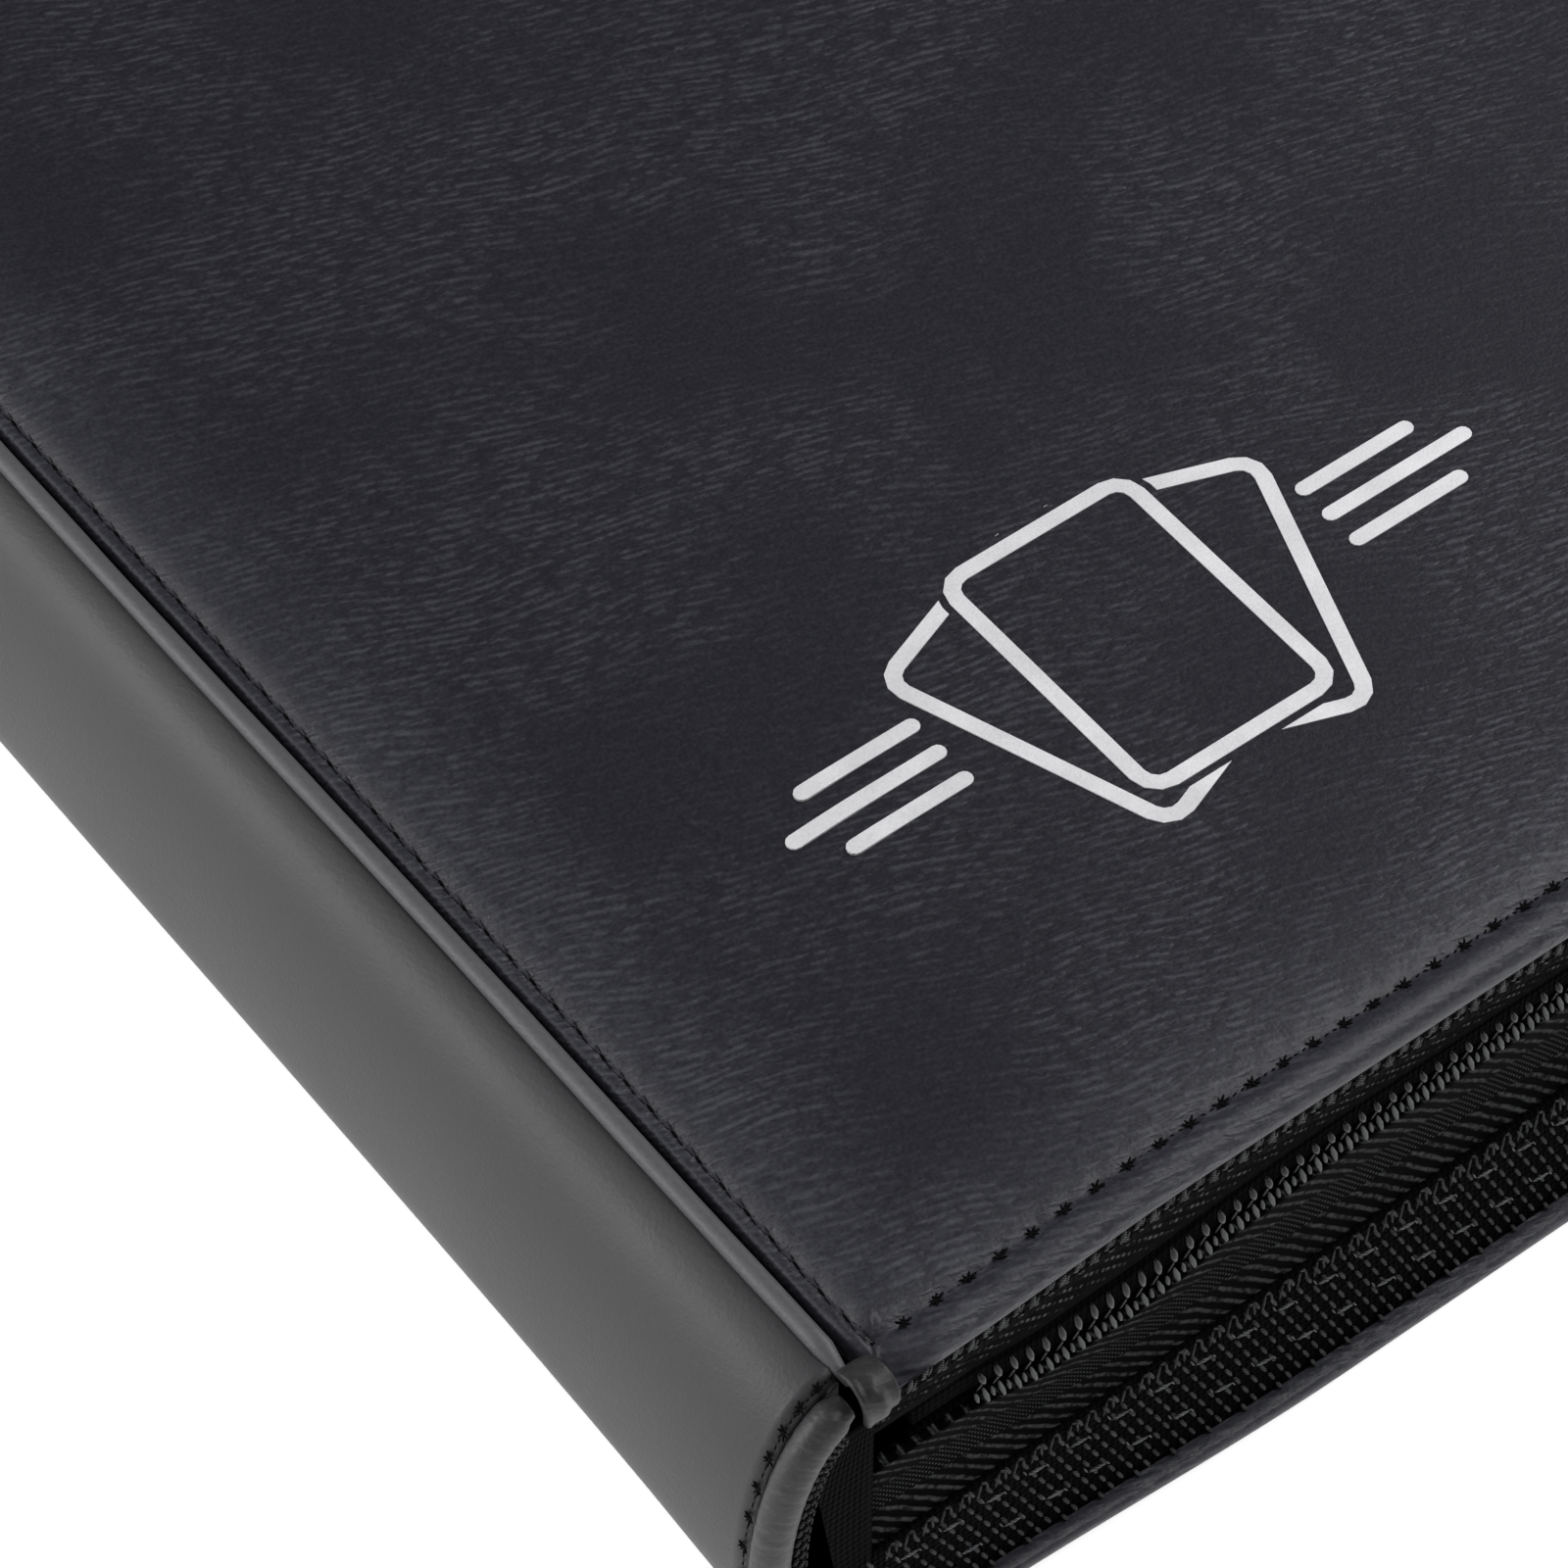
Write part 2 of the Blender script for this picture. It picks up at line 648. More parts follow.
SPINE_EDGE = [
    (2.6, 2.95, 0), (2.6, 2.2, 0), (1.0, 2.2, 0), (0.3, 2.2, 0), (0.05, 2.0, 0), (0.0, 1.6, 0),
    (0.02, 1.3, 0), (0.06, 1.1, 0), (0.14, 0.9, 0), (0.28, 0.72, 0), (0.45, 0.62, 0.02), (0.65, 0.6, 0.03),
    (0.85, 0.62, 0.05), (1.05, 0.66, 0.1), (1.2, 0.7, 0.16), (1.35, 0.72, 0.2), (1.5, 0.64, 0.16),
    (1.8, 0.42, 0.08),
    (2.3, 0.2, 0.03), (3.2, -0.02, 0.01), (4.8, -0.14, 0), (7.5, -0.22, 0), (11.5, -0.28, 0),
]
STITCH_RING = 15
CROWN_RING = 20
WALL_DROP = 1.9
CROWN = 0.28
INNER_RINGS = 13
PER_STITCH = 4
EDGE_STITCHES = round(STRAIGHT / PITCH)
ARC_STITCHES = 6
FORE_STITCHES = round(LONG / PITCH)
SPINE_STITCHES = round(2 * HEAD / PITCH)


def ring_of(inset, spine_inset):
    """Closed outline of the cover at one inset: points, with how far each lies from the spine corners."""
    r = max(CORNER - inset, 1.5)
    x0, x1, y1 = SPINE_SIDE + spine_inset, FORE - inset - r, HEAD - inset
    points = []
    runs = (EDGE_STITCHES * PER_STITCH, ARC_STITCHES * PER_STITCH, FORE_STITCHES * PER_STITCH)
    for i in range(runs[0]):
        points.append((mix(x0, x1, i / runs[0]), -y1, i, "free"))
    for i in range(runs[1]):
        a = math.pi / 2 * (i / runs[1] - 1)
        points.append((x1 + r * math.cos(a), -(y1 - r) + r * math.sin(a), i + 99, "free"))
    for i in range(runs[2]):
        points.append((FORE - inset, mix(-(y1 - r), y1 - r, i / runs[2]), i + 99, "free"))
    for i in range(runs[1]):
        a = math.pi / 2 * i / runs[1]
        points.append((x1 + r * math.cos(a), y1 - r + r * math.sin(a), i + 99, "free"))
    for i in range(runs[0]):
        points.append((mix(x1, x0, i / runs[0]), y1, runs[0] - i, "free"))
    total = SPINE_STITCHES * PER_STITCH
    for i in range(total + 1):
        points.append((x0, mix(y1, -y1, i / total), min(i, total - i), "spine"))
    return points


def swell(x, y):
    """Slow rise and fall of the padding under the cover."""
    inside = min(FORE - abs(x), HEAD - abs(y))
    wave = math.sin(x / 19 + 0.6) * math.sin(y / 27 + 1.1) + 0.5 * math.sin((x + 1.7 * y) / 33)
    return 0.09 * wave * ease(inside, 8, 40)


def cover_rings(top, proud, crown):
    """Rows of the closed pad that makes one cover; top is +1 for the front cover and -1 for the back."""
    rings, across = [], []
    inner = [(13.0 + 8.85 * j, 11.5 + 8.95 * j) for j in range(1, INNER_RINGS + 1)]
    profiles = list(zip(FREE_EDGE, SPINE_EDGE)) + [((a, -CROWN, 0), (b, -CROWN, 0)) for a, b in inner]
    for k, (free, spine) in enumerate(profiles):
        out = proud * (1 - ease(free[0], 0.6, 3.0))
        row = []
        for i, (x, y, away, side) in enumerate(ring_of(free[0] - out, spine[0])):
            corner = ease(away, 0, 9)
            drop = mix((free[1] + spine[1]) / 2, (free if side == "free" else spine)[1], corner)
            dent = (free if side == "free" else spine)[2] * (0.5 + 0.5 * math.cos(math.tau * i / PER_STITCH))
            if drop > WALL_DROP:
                dent = 0
            if drop < 0:
                drop *= crown
            near = math.exp(-(((x - SPINE_SIDE) ** 2 + (abs(y) - HEAD) ** 2) / 9.0))
            pull = near * (1.0 if drop < WALL_DROP else 0.0)
            z = TOP - drop - dent - 1.3 * pull + (swell(x, y) * crown if k > CROWN_RING else 0.0)
            x += 0.9 * pull
            y -= math.copysign(0.9 * pull, y)
            row.append(settle(x, y, z if top > 0 else TOP - z, top > 0))
        rings.append(row)
        across.append(free[0] if k > 3 else -1.0)
    return rings, across


def make_cover(name, body, top, proud, crown):
    shape = new_shape()
    rings, across = cover_rings(top, proud, crown)
    along = [i * PITCH / PER_STITCH for i in range(len(rings[0]))]
    loft(shape, rings, along, across)
    cover = piece(name, shape, cover_skin)
    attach(cover, body)
    return cover, rings[STITCH_RING]


def frayed_hole(shape, spot, ahead, side, up, size, chance):
    """One needle hole: a dark middle with spikes of crushed cloth round it, and the thread leaving it."""
    grain(shape, spot - ahead * 0.3 * size, spot + ahead * 0.3 * size, 0.27 * size, sides=6, rings=3, flat=0.5)
    for k in range(7):
        a = math.tau * (k + chance.uniform(-0.3, 0.3)) / 7
        long = size * chance.uniform(0.42, 0.75)
        tip = spot + (ahead * math.cos(a) * 1.15 + side * math.sin(a)) * long + up
        grain(shape, spot, tip, 0.12 * size, sides=4, rings=3, flat=0.8)


def stitch_marks(name, ring, body, top):
    """Row of needle holes along a stitched channel, with short dashes of thread between them."""
    shape = new_shape()
    chance = random.Random(11)
    for i in range(0, len(ring) - 1, PER_STITCH):
        spot = Vector(ring[i])
        ahead = Vector(ring[i + 1]) - spot
        ahead.z = 0.0
        ahead.normalize()
        side = Vector((-ahead.y, ahead.x, 0.0))
        spot.z += 0.06 * top
        up = Vector((0.0, 0.0, 0.16 * top))
        cell = new_shape()
        if abs(spot.x - SPINE_SIDE - 1.35) > 0.3:
            frayed_hole(cell, spot + up * 0.5, ahead, side, up * 1.1, 1.0, chance)
            for t in (0.34, 0.6):
                far = spot + ahead * PITCH * t + up
                lean = side * chance.uniform(-0.12, 0.12)
                grain(cell, far - lean, far + ahead * 0.42 + lean, 0.1, sides=4, rings=3)
        else:
            grain(cell, spot - ahead * 0.5, spot + ahead * 0.5, 0.17, sides=6, rings=3, flat=0.5)
            for t in (-0.1, 0.1):
                a = spot + ahead * 0.35 + up * 0.6 + side * t
                b = spot + ahead * (PITCH - 0.35) + up * 0.6 + side * t
                middle = (a + b) / 2 + side * t * 1.2 + up * 0.6
                grain(cell, a, middle, 0.05, sides=4, rings=3)
                grain(cell, middle, b, 0.05, sides=4, rings=3)
        pour(shape, cell)
    marks = piece(name, shape, stitch_thread, weld=0, caps=False, fix=False)
    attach(marks, body)


front_cover, front_ring = make_cover("front_cover_pad", "front_cover", 1, 0.0, 1.0)
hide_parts("front_skin", "front_padding")
back_cover, back_ring = make_cover("back_cover_pad", "back_cover", -1, 0.45, 0.0)
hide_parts("back_skin", "back_padding")
stitch_marks("front_cover_stitching", front_ring, "front_cover", 1)
stitch_marks("back_cover_stitching", back_ring, "back_cover", -1)


# ---- spine ----

BULGE = SEAM - spine_low.x
SPINE_END = spine_high.y
SPINE_HALF = 17.5
TUCK = 3.2
HOLES = 16
SPINE_WALL = 2.5
RIBBON_DEPTH = 3.0
RIBBON_BACK = 4.5


def spine_point(turn, y, depth):
    """Point on the soft spine: turn runs from -90 degrees at the back seam to 90 at the front seam."""
    full = 0.87 - 0.19 * (1 - (abs(y) / HEAD) ** 3) + 0.012 * math.sin(y / 19)
    a, b = (BULGE - depth) * full, SPINE_HALF - depth
    tuck = mix(1.0, TUCK, ease(-turn, 0.0, 0.5))
    return (SEAM - 0.35 - a * max(0.0, math.cos(turn)) ** tuck, y, MID + b * math.sin(turn))


def spine_ys():
    """Positions along the spine, close together at the stitched ends."""
    ends = [0.0, 0.2, 0.4, 0.6, 0.85, 1.2, 1.8, 2.6, 4.0, 6.0, 8.5]
    low = [-SPINE_END + e for e in ends]
    count = 84
    reach_y = SPINE_END - 12
    return low + [mix(-reach_y, reach_y, i / count) for i in range(count + 1)] + [-y for y in reversed(low)]


def spine_dent(turn, y):
    edge = SPINE_END - abs(y)
    holes = 0.5 + 0.5 * math.cos(turn / (math.pi / HOLES) * math.tau)
    puff = 0.1 * ease(edge, 1.0, 3.5) * (1 - ease(edge, 5, 14))
    return 0.6 * (1 - ease(edge, 0.0, 0.9)) + 0.2 * holes * (1 - ease(edge, 0.2, 0.9)) - puff


def make_spine():
    ys = spine_ys()
    turns = 56
    rows, across = [], []
    for k in range(turns + 1):
        turn = mix(-math.pi / 2, math.pi / 2, k / turns)
        rows.append([spine_point(turn, y, spine_dent(turn, y)) for y in ys])
        across.append(k * 0.8)
    for k in range(turns, -1, -4):
        turn = mix(-math.pi / 2, math.pi / 2, k / turns)
        rows.append([spine_point(turn, y, SPINE_WALL) for y in ys])
        across.append(k * 0.8)
    rows.append(rows[0])
    across.append(0.0)
    shape = new_shape()
    loft(shape, rows, ys, across)
    panel = piece("spine_panel", shape, spine_skin)
    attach(panel, "spine")
    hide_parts("spine_skin", "spine_padding")
    return panel


def flatten(thing):
    """The soft spine folds flat against the seams as the binder opens."""
    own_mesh(thing)


spine_panel = make_spine()
flatten(spine_panel)

# lining inside the spine
lining_turns = 24
shape = new_shape()
lining_rows = []
for depth in (2.6, 3.1):
    order = range(lining_turns + 1) if depth < 3 else range(lining_turns, -1, -1)
    for k in order:
        turn = mix(-1.45, 1.45, k / lining_turns)
        lining_rows.append([spine_point(turn, mix(-SPINE_END, SPINE_END, i / 40), depth) for i in range(41)])
lining_rows.append(lining_rows[0])
loft(shape, lining_rows, [mix(-SPINE_END, SPINE_END, i / 40) for i in range(41)])
spine_lining = piece("spine_lining_cloth", shape, lining_cloth)
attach(spine_lining, "spine")
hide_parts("spine_lining")
flatten(spine_lining)

# rolled ridges where the spine meets each cover
for name, node, pair, z, up in (
    ("front_seam_ridge", "front_seam", ("spine", "front_cover"), TOP - 1.1, 1.0),
    ("back_seam_ridge", "back_seam", ("back_cover", "spine"), 1.1, -1.0),
):
    path, radii, normals = [], [], []
    count = 240
    for i in range(count + 1):
        y = mix(-HEAD + 2.2, HEAD - 2.2, i / count)
        end = ease(HEAD - 2.2 - abs(y), -0.3, 3.0)
        path.append((SEAM + 0.1 + 0.06 * math.sin(y / 11), y, z - up * 0.9 * (1 - end)))
        fat = (0.35 + 0.65 * end) * (1 + 0.03 * math.sin(y / 3.1) * math.sin(y / 7.3))
        radii.append((0.78 * fat, 0.78 * fat))
        normals.append((0.0, 0.0, up))
    shape = new_shape()
    tube(shape, path, radii, normals, 16, [p[1] for p in path])
    ridge = piece(name, shape, ridge_skin)
    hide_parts(node)
    at = SEAM * MM
    low, high = (at - 0.0016, 0, z * MM), (at + 0.0016, 0, z * MM)
    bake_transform(ridge, *pair, start=low if up > 0 else high, end=high if up > 0 else low)

# piping round each end of the spine, with the stitches that hold it
PIPE = 1.45
for side, tail in ((-1, "tail"), (1, "head")):
    path, radii, normals = [], [], []
    count = 150
    for i in range(count + 1):
        turn = mix(-1.5, 1.5, i / count)
        x, y, z = spine_point(turn, side * (HEAD - PIPE), PIPE)
        bend = math.sin(i * 1.9) * math.sin(i * 0.53)
        path.append((x, y, z))
        fat = PIPE * (1 - 0.035 * abs(bend) - 0.3 * ease(abs(turn), 1.3, 1.5))
        radii.append((fat, fat))
        normals.append((-math.cos(turn), 0.0, math.sin(turn)))
    shape = new_shape()
    tube(shape, path, radii, normals, 18, [i * 0.3 for i in range(count + 1)])
    pipe = piece(f"{tail}_piping_roll", shape, trim_skin)
    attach(pipe, "spine")
    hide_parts(f"{tail}_piping")
    flatten(pipe)

    shape = new_shape()
    chance = random.Random(5)
    y = side * (SPINE_END - 0.25)
    for i in range(1, HOLES):
        turn = mix(-math.pi / 2, math.pi / 2, i / HOLES)
        spot = Vector(spine_point(turn, y, 0.3))
        ahead = (Vector(spine_point(turn + 0.05, y, 0.3)) - spot).normalized()
        up = Vector((-math.cos(turn), 0.0, math.sin(turn))) * 0.18
        frayed_hole(shape, spot, ahead, Vector((0.0, 1.0, 0.0)), up, 0.85, chance)
        for t in (0.35, 0.62):
            a = Vector(spine_point(turn + t * math.pi / HOLES, y, 0.3))
            b = Vector(spine_point(turn + (t + 0.16) * math.pi / HOLES, y, 0.25))
            grain(shape, a, b, 0.1, sides=4, rings=3)
    line = piece(f"{tail}_piping_stitching", shape, stitch_thread, weld=0, caps=False, fix=False)
    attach(line, "spine")
    flatten(line)

    # woven ribbon inside the arc, closing the gap behind the piping
    rows = []
    across = []
    ys = [side * (HEAD - 0.9 - 0.8 * j) for j in range(7)]
    for depth in (RIBBON_DEPTH, RIBBON_BACK):
        for y in ys if depth == RIBBON_DEPTH else reversed(ys):
            row = []
            for i in range(61):
                row.append(spine_point(mix(-1.42, 1.42, i / 60), y, depth))
            rows.append(row)
            across.append(abs(y))
    rows.append(rows[0])
    across.append(across[0])
    shape = new_shape()
    loft(shape, rows, [i * 0.7 for i in range(61)], across)
    ribbon = piece(f"{tail}_ribbon_weave", shape, web_base)
    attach(ribbon, "spine")
    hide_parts(f"{tail}_ribbon")
    flatten(ribbon)

    # light strands across the ribbon, with a cord along its inner edge
    shape = new_shape()
    y = side * (HEAD - 0.72)
    for i in range(34):
        turn = mix(-1.3, 1.3, i / 33)
        for depth, shift in ((3.1, 0.0), (3.75, 0.035)):
            a = Vector(spine_point(turn + shift, y, depth))
            b = Vector(spine_point(turn + shift + 0.05, y, depth + 0.6))
            grain(shape, a, b, 0.19, rings=3)
        a = Vector(spine_point(turn, y, RIBBON_BACK))
        b = Vector(spine_point(turn + 0.075, y, RIBBON_BACK))
        grain(shape, a, b, 0.11, rings=3)
    # the gusset webbing carried on behind the piping
    for column in range(1, 10):
        x = SPINE_SIDE - column * RIB
        for k in range(7):
            z = 3.0 + (k + (-column * 0.27) % 1.0) * RIB_RISE
            t = math.asin(max(-1.0, min(1.0, (z + 0.6 - MID) / (SPINE_HALF - 5))))
            if z + 1.4 < web_high.z and x > spine_point(t, y, 5.0)[0] and abs(z + 0.6 - MID) < SPINE_HALF - 5:
                grain(shape, (x, y + side * 0.05, z + 1.4), (x + 0.7, y + side * 0.05, z), 0.2, rings=3)
    strands = piece(f"{tail}_ribbon_strands", shape, rib_yarn, weld=0, caps=False, fix=False)
    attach(strands, "spine")
    flatten(strands)

    # dark end cloth between the ribbon and the corner of the pages
    rows, across = [], []
    for y in (side * (HEAD - 0.95), side * (HEAD - 1.6)):
        order = range(25) if len(rows) == 0 else range(24, -1, -1)
        for k in order:
            t = mix(-1.25, 1.25, k / 24)
            x, _, z = spine_point(t, y, 3.4)
            rows.append([(mix(x, SPINE_SIDE - 0.1, j / 6), y, z) for j in range(7)])
            across.append(z)
    rows.append(rows[0])
    across.append(across[0])
    shape = new_shape()
    loft(shape, rows, [j * 1.2 for j in range(7)], across)
    end_cloth = piece(f"{tail}_end_cloth", shape, web_base)
    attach(end_cloth, "spine")
    flatten(end_cloth)


# ---- zipped edge: webbings, tapes and coils ----

START = 1.0
RUN = ROUND - 2 * START


def levels(low, high, step):
    count = max(2, round((high - low) / step))
    return [mix(low, high, i / count) for i in range(count + 1)]


# braided webbing under the front cover's edge
shape = new_shape()
band(shape, levels(edge_low.z, edge_high.z, 0.6), 1.05, 0.6, 520)
braid_ground = piece("edge_braid_ground", shape, web_base, soft="front")
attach(braid_ground, "front_cover")
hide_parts("edge_webbing")

shape = new_shape()
strand = 2.6
top_z = edge_high.z - 0.1
for k in range(2):
    x, low = k * 1.3, k * 0.5
    grain(shape, (x + 0.5, -0.6, top_z - 0.2 - low), (x - 0.1, -0.42, top_z - 1.25 - low), 0.22, taper=0.6)
    grain(shape, (x + 1.0, -0.75, top_z - 1.0 - low), (x + 0.55, -0.65, top_z - 1.75 - low), 0.13, rings=3)
    grain(shape, (x + 0.1, -0.9, top_z - 2.1), (x + 0.75, -0.95, top_z - 2.35), 0.1, rings=3)
    grain(shape, (x + 0.6, -0.95, top_z - 2.75), (x + 1.3, -1.0, top_z - 3.0), 0.09, rings=3)
repeat(shape, int(RUN / strand), (strand, 0, 0))
wrap(shape, START)
braid = piece("edge_braid_strands", shape, braid_yarn, weld=0, caps=False, fix=False, soft="front")
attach(braid, "front_cover")

# upper tape, hanging from the front cover
shape = new_shape()
band(shape, levels(upper_low.z + 0.6, upper_high.z, 0.8), 1.6, 0.7, 520)
upper_tape = piece("upper_tape_weave", shape, upper_cloth, soft="front")
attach(upper_tape, "front_cover")
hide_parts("upper_tape")


def tape_bow(s, z):
    """Slight hollow of the lower tape between the chain and the webbing."""
    t = (z - web_high.z) / (row_high.z - web_high.z)
    return 0.35 - 0.55 * math.sin(math.pi * max(0.0, min(1.0, t))) + 0.12 * math.sin(s / 17.0)


# lower tape, standing on the back cover
shape = new_shape()
band(shape, levels(lower_low.z, row_high.z, 0.7), 1.6, 0.7, 640, tape_bow)
lower_tape = piece("lower_tape_weave", shape, lower_cloth, soft="back")
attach(lower_tape, "back_cover")
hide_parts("lower_tape")

# coil rows: a cord core, with a bead for each upper tooth and a pair of legs for each lower one
CHAIN_START = 9.0
TEETH = int((ROUND - 2 * CHAIN_START) / TOOTH)
for name, low, high, body, node in (
    ("upper_coil_core", CHAIN + 0.75, chain_high.z, "front_cover", "upper_coil"),
    ("lower_coil_core", row_low.z + 0.2, CHAIN - 0.2, "back_cover", "lower_coil"),
):
    shape = new_shape()
    band(shape, levels(low, high, 0.9), 1.95, 1.0, 420, start=4.0, stop=ROUND - 4.0)
    core = piece(name, shape, cord_core, soft="front" if body == "front_cover" else "back")
    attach(core, body)
    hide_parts(node)

shape = new_shape()
grain(shape, (0.05, -1.3, CHAIN + 3.3), (0.6, -1.15, CHAIN + 1.7), 0.34, sides=10, rings=8, taper=0.8)
repeat(shape, TEETH, (TOOTH, 0, 0))
wrap(shape, CHAIN_START)
upper_teeth = piece("upper_coil_teeth", shape, nylon_head, weld=0, caps=False, fix=False, soft="front")
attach(upper_teeth, "front_cover")

shape = new_shape()
grain(shape, (0.74, -1.3, CHAIN + 1.2), (1.16, -1.0, CHAIN - 0.6), 0.24, taper=0.75)
grain(shape, (0.16, -1.35, CHAIN + 0.8), (0.27, -1.1, CHAIN - 0.2), 0.2, taper=0.8)
grain(shape, (0.95, -1.4, CHAIN + 1.7), (0.45, -1.6, CHAIN + 0.5), 0.1, rings=3)
repeat(shape, TEETH, (TOOTH, 0, 0))
wrap(shape, CHAIN_START - 0.2)
lower_teeth = piece("lower_coil_teeth", shape, nylon_leg, weld=0, caps=False, fix=False, soft="back")
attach(lower_teeth, "back_cover")

# ribbed gusset webbing: a dark ground with rows of short raised ribs in a four-step twill
shape = new_shape()
band(shape, levels(web_low.z - 0.2, web_high.z, 0.8), 0.95, 0.7, 520)
gusset = piece("gusset_web_ground", shape, web_base, soft="back")
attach(gusset, "back_cover")
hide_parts("gusset_webbing")

shape = new_shape()
for step in range(4):
    shift = (step * 0.27) % 1.0
    for k in range(6):
        z = web_low.z + 0.35 + (k + shift) * RIB_RISE
        if z + 1.2 < web_high.z:
            x = step * RIB
            grain(shape, (x - 0.1, -0.68, z + 1.4), (x + 0.6, -0.68, z), 0.21, sides=5, rings=3)
for k in range(2):
    x = k * 1.6
    grain(shape, (x, -0.7, web_high.z - 1.9), (x + 0.25, -0.6, web_high.z + 0.15), 0.14, rings=3)
    grain(shape, (x + 0.2, -0.6, web_high.z + 0.15), (x + 0.75, -0.62, web_high.z - 0.1), 0.13, rings=3)
    grain(shape, (x + 0.7, -0.6, web_high.z), (x + 0.95, -0.7, web_high.z - 1.7), 0.14, rings=3)
repeat(shape, int(RUN / (4 * RIB)), (4 * RIB, 0, 0))
wrap(shape, START)
ribs = piece("gusset_web_ribs", shape, rib_yarn, weld=0, caps=False, fix=False, soft="back")
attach(ribs, "back_cover")

# two sewn rows along the gusset, linked by slanting threads
SEW = 3.75
shape = new_shape()
for row, z in enumerate((web_high.z - 2.6, web_high.z - 7.6)):
    x = row * SEW / 2
    grain(shape, (x, -0.42, z + 0.15), (x + 1.7, -0.42, z - 0.1), 0.13, rings=4)
    grain(shape, (x + 1.65, -0.45, z), (x + 2.1, -0.55, z - 0.8), 0.09, rings=3)
    grain(shape, (x, -0.45, z + 0.1), (x - 0.3, -0.55, z + 0.8), 0.09, rings=3)
repeat(shape, int((RUN - 4) / SEW), (SEW, 0, 0))
wrap(shape, START + 1)
sewing = piece("gusset_sewing", shape, gusset_thread, weld=0, caps=False, fix=False, soft="back")
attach(sewing, "back_cover")


# ---- folded tabs over the two spine corners ----

for side, tail in ((-1, "tail"), (1, "head")):
    profile = [
        (2.9, -1.2), (2.3, -0.5), (1.6, -0.1), (0.9, -0.05), (0.3, -0.35), (-0.15, -0.9),
        (-0.4, -1.6), (-0.45, -2.4), (-0.35, -3.1), (-0.2, -3.7),
    ]
    wide = 9
    rows = []
    for j in range(wide + 1):
        t = j / wide
        row = []
        for k, (into, drop) in enumerate(profile):
            far = k / (len(profile) - 1)
            x = mix(-0.75, 1.75, t) + 0.15 * far + 0.25 * math.sin(math.pi * far) * (2 * t - 1)
            cut = 1.0 - 0.35 * t * ease(far, 0.3, 1.0)
            curl = 0.3 * (2 * t - 1) ** 2
            fold = 0.45 * math.exp(-(((t - 0.28 - 0.25 * far) / 0.13) ** 2)) * ease(far, 0.15, 0.5)
            puff = 0.2 * math.sin(math.pi * t) * math.sin(math.pi * min(1.0, far * 1.2)) + fold
            y = side * (HEAD - into + curl * 0.6 + puff * (1 if far > 0.3 else 0.2))
            z = TOP + drop * cut + puff * 0.6 + (0.2 if t < 0.12 else 0.0)
            row.append((SEAM + x, y, z))
        rows.append(row)
    shape = new_shape()
    loft(shape, rows)
    lay_uv(shape)
    bmesh.ops.recalc_face_normals(shape, faces=shape.faces)
    tab = piece(f"{tail}_tab_fold", shape, tab_skin, caps=False)
    thick = tab.modifiers.new("thickness", "SOLIDIFY")
    thick.thickness = 0.0007
    thick.offset = 0.0
    soft = tab.modifiers.new("softness", "SUBSURF")
    soft.levels = 2
    soft.render_levels = 2
    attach(tab, "front_cover")
    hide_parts(f"{tail}_tab")


# ---- foil emblem: a fan of three blank cards with three bars on each side ----

FOIL_STEP = 2.0
FOIL_PROUD = 0.1


def paint(node, finish):
    nodes[node].data.materials.clear()
    nodes[node].data.materials.append(finish)


paint("foil_emblem", foil_finish)


def stamped_foil():
    """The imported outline, cut finely and laid on the swelling cover."""
    shape = bmesh.new()
    shape.from_mesh(nodes["foil_emblem"].data)
    bmesh.ops.scale(shape, vec=(1000, 1000, 1000), verts=shape.verts)
    bmesh.ops.remove_doubles(shape, verts=shape.verts, dist=0.001)
    bmesh.ops.dissolve_limit(shape, angle_limit=0.02, verts=shape.verts, edges=shape.edges)
    bmesh.ops.triangulate(shape, faces=shape.faces)
    for _ in range(4):
        long_edges = [edge for edge in shape.edges if edge.calc_length() > FOIL_STEP]
        bmesh.ops.subdivide_edges(shape, edges=long_edges, cuts=1)
        bmesh.ops.triangulate(shape, faces=shape.faces)
    for vert in shape.verts:
        lift = CROWN + swell(vert.co.x, vert.co.y)
        raised = FOIL_PROUD if vert.co.z > TOP + 0.04 else -0.25
        vert.co = settle(vert.co.x, vert.co.y, TOP + lift + raised, True)
    for layer in ("along", "across"):
        shape.verts.layers.float.new(layer)
    shape.verts.layers.int.new("column")
    return shape


foil = piece("foil_card_fan", stamped_foil(), foil_finish, weld=0, caps=False, smooth=False)
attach(foil, "front_cover")
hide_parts("foil_emblem")


# ---- inside: linings, boards, binding, pages, slider ----

for name, node, body in (
    ("front_lining_cloth", "front_lining", "front_cover"),
    ("back_lining_cloth", "back_lining", "back_cover"),
):
    low, high = reach(node)
    shape = new_shape()
    count = 48
    columns = [mix(low.x, high.x, i / count) for i in range(count + 1)]
    zs = (low.z + 0.02, high.z - 0.02)
    r = 11.4
    rows = []
    across = []
    ys = levels(low.y, high.y, 6.0)
    for z in zs:
        for y in ys if z == zs[0] else reversed(ys):
            over = max(0.0, abs(y) - (high.y - r))
            tuck = r - math.sqrt(max(0.0, r * r - over * over))
            row = []
            for x in columns:
                reach_x = mix(low.x, high.x - tuck, (x - low.x) / (high.x - low.x))
                row.append((reach_x, y, z))
            rows.append(row)
            across.append(y)
    rows.append(rows[0])
    across.append(across[0])
    loft(shape, rows, columns, across)
    cloth = piece(name, shape, lining_cloth, smooth=False)
    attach(cloth, body)
    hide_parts(node)

for node in ("front_board", "back_board"):
    paint(node, board_finish)
for node in ("slider_body", "slider_pull"):
    paint(node, enamel)
paint("binding_tape", lining_cloth)
page_names = sorted(n for n in nodes if n.startswith("page_"))
for node in page_names:
    paint(node, page_finish)

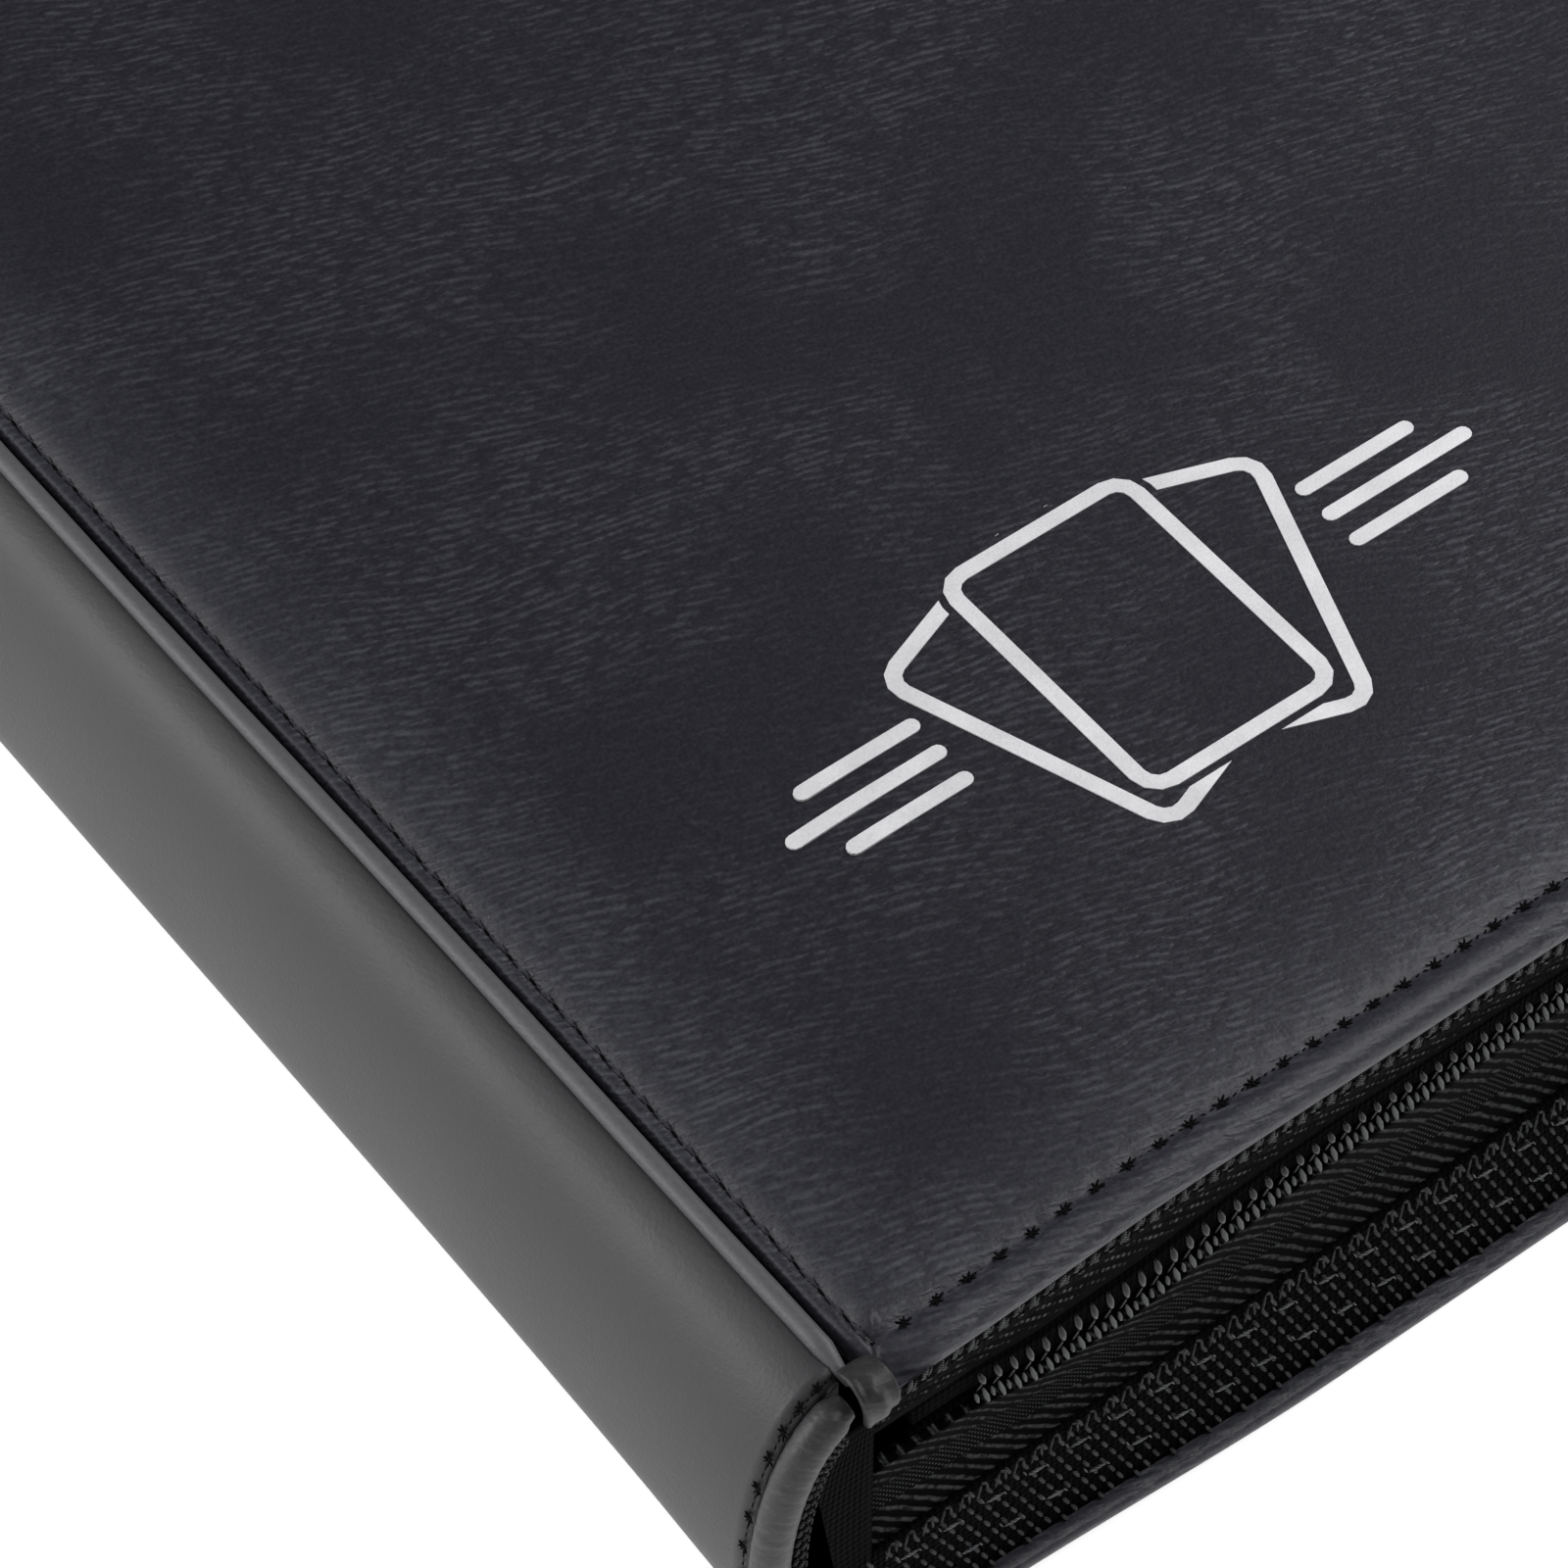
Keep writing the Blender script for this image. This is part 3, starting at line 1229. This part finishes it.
# rolled binding that the pages turn on
ROLL_X, ROLL_Z = (roll_low.x + roll_high.x) / 2, (roll_low.z + roll_high.z) / 2
ROLL_R = (roll_high.x - roll_low.x) / 2
shape = new_shape()
count = 52
ys = [mix(roll_low.y, roll_high.y, i / count) for i in range(count + 1)]
rows = []
turns = 40
for k in range(turns + 1):
    a = math.tau * k / turns
    r = ROLL_R - 0.5 * (1 - ease(k, 0, 3)) * (1 if k < 3 else 0) - (0.0 if k < turns else 0.5)
    rows.append([(ROLL_X + r * math.cos(a), y, ROLL_Z + r * math.sin(a)) for y in ys])
rows[-1] = rows[0]
loft(shape, rows, ys, [k * math.tau * ROLL_R / turns for k in range(turns + 1)])
roll = piece("binding_roll_wrap", shape, binding_cloth)
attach(roll, "back_cover")
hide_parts("binding_roll")

# flexible root strip from the roll to each page
for number, node in enumerate(page_names, 1):
    low, high = reach(node)
    z = (low.z + high.z) / 2
    a = math.atan2((z - ROLL_Z) * 0.8, 9.0)
    start = Vector((ROLL_X + (ROLL_R - 0.2) * math.cos(a), 0, ROLL_Z + (ROLL_R - 0.2) * math.sin(a)))
    end = Vector((low.x + 0.6, 0, z))
    steps = 18
    shape = new_shape()
    rows, across = [], []
    for thick in (0.1, -0.1):
        order = range(steps + 1) if thick > 0 else range(steps, -1, -1)
        for i in order:
            t = i / steps
            spot = start.lerp(end, t)
            bow = 0.25 * math.sin(math.pi * t)
            rows.append([(spot.x, mix(low.y, high.y, j / 26), spot.z + bow + thick) for j in range(27)])
            across.append(t * 8)
    rows.append(rows[0])
    across.append(0.0)
    loft(shape, rows, [j * 12.0 for j in range(27)], across)
    strip = piece(f"root_strip_{number:02d}", shape, page_finish)
    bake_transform(strip, "back_cover", node, start=start * MM, end=end * MM)


# ---- stage, lights and camera ----


def floor_finish():
    floor = Finish("pale_floor", Roughness=0.9, Emission_Strength=0.55)
    tone = floor.noise(floor.place(), 0.002, 1.0)
    floor.feed("Base Color", floor.blend(tone, (0.9, 0.9, 0.9, 1), (0.93, 0.93, 0.93, 1)))
    floor.feed("Emission Color", floor.blend(tone, (1, 1, 1, 1), (0.99, 0.99, 0.99, 1)))
    return floor.material


shape = new_shape()
half = 3000.0
under = -0.2
loft(shape, [[(-half, -half, under), (half, -half, under)], [(-half, half, under), (half, half, under)]])
floor = piece("floor", shape, floor_finish(), caps=False)
floor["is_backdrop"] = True

world = bpy.data.worlds.new("studio")
bpy.context.scene.world = world
world.use_nodes = True
world.node_tree.nodes["Background"].inputs["Color"].default_value = (1.0, 1.0, 1.0, 1.0)
world.node_tree.nodes["Background"].inputs["Strength"].default_value = 0.26


def softbox(name, spot, target, size, watts):
    light = bpy.data.lights.new(name, "AREA")
    light.shape = "SQUARE"
    light.size = size
    light.energy = watts
    thing = bpy.data.objects.new(name, light)
    thing.location = spot
    thing.rotation_euler = (Vector(target) - Vector(spot)).to_track_quat("-Z", "Y").to_euler()
    bpy.context.scene.collection.objects.link(thing)


look_at = Vector(((SEAM + 26.4) * MM, (-HEAD + 43.4) * MM, TOP * MM))
softbox("left_softbox", (-1.05, 0.45, 0.35), look_at, 0.6, 10.0)
softbox("back_softbox", (-0.65, 0.5, 0.95), look_at, 0.4, 3.2)
softbox("front_softbox", (0.35, -0.7, 1.0), look_at, 0.22, 6.0)
softbox("right_softbox", (0.23, -0.15, 0.29), look_at, 0.2, 1.1)

AZIMUTH, ELEVATION, DISTANCE = math.radians(-37.64), math.radians(51.67), 0.45
SENSOR = 36.0
FOCAL_LENGTH = 147.2175
away = Vector(
    (
        math.sin(AZIMUTH) * math.cos(ELEVATION),
        -math.cos(AZIMUTH) * math.cos(ELEVATION),
        math.sin(ELEVATION),
    )
)
lens = bpy.data.cameras.new("camera")
lens.sensor_width = SENSOR
lens.lens = FOCAL_LENGTH
lens.clip_start = 0.02
lens.clip_end = 20.0
camera = bpy.data.objects.new("camera", lens)
camera.location = look_at + away * DISTANCE
camera.rotation_mode = "QUATERNION"
camera.rotation_quaternion = (-away).to_track_quat("-Z", "Y")
bpy.context.scene.collection.objects.link(camera)
bpy.context.scene.camera = camera
bpy.context.scene.view_settings.view_transform = "Standard"

low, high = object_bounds()
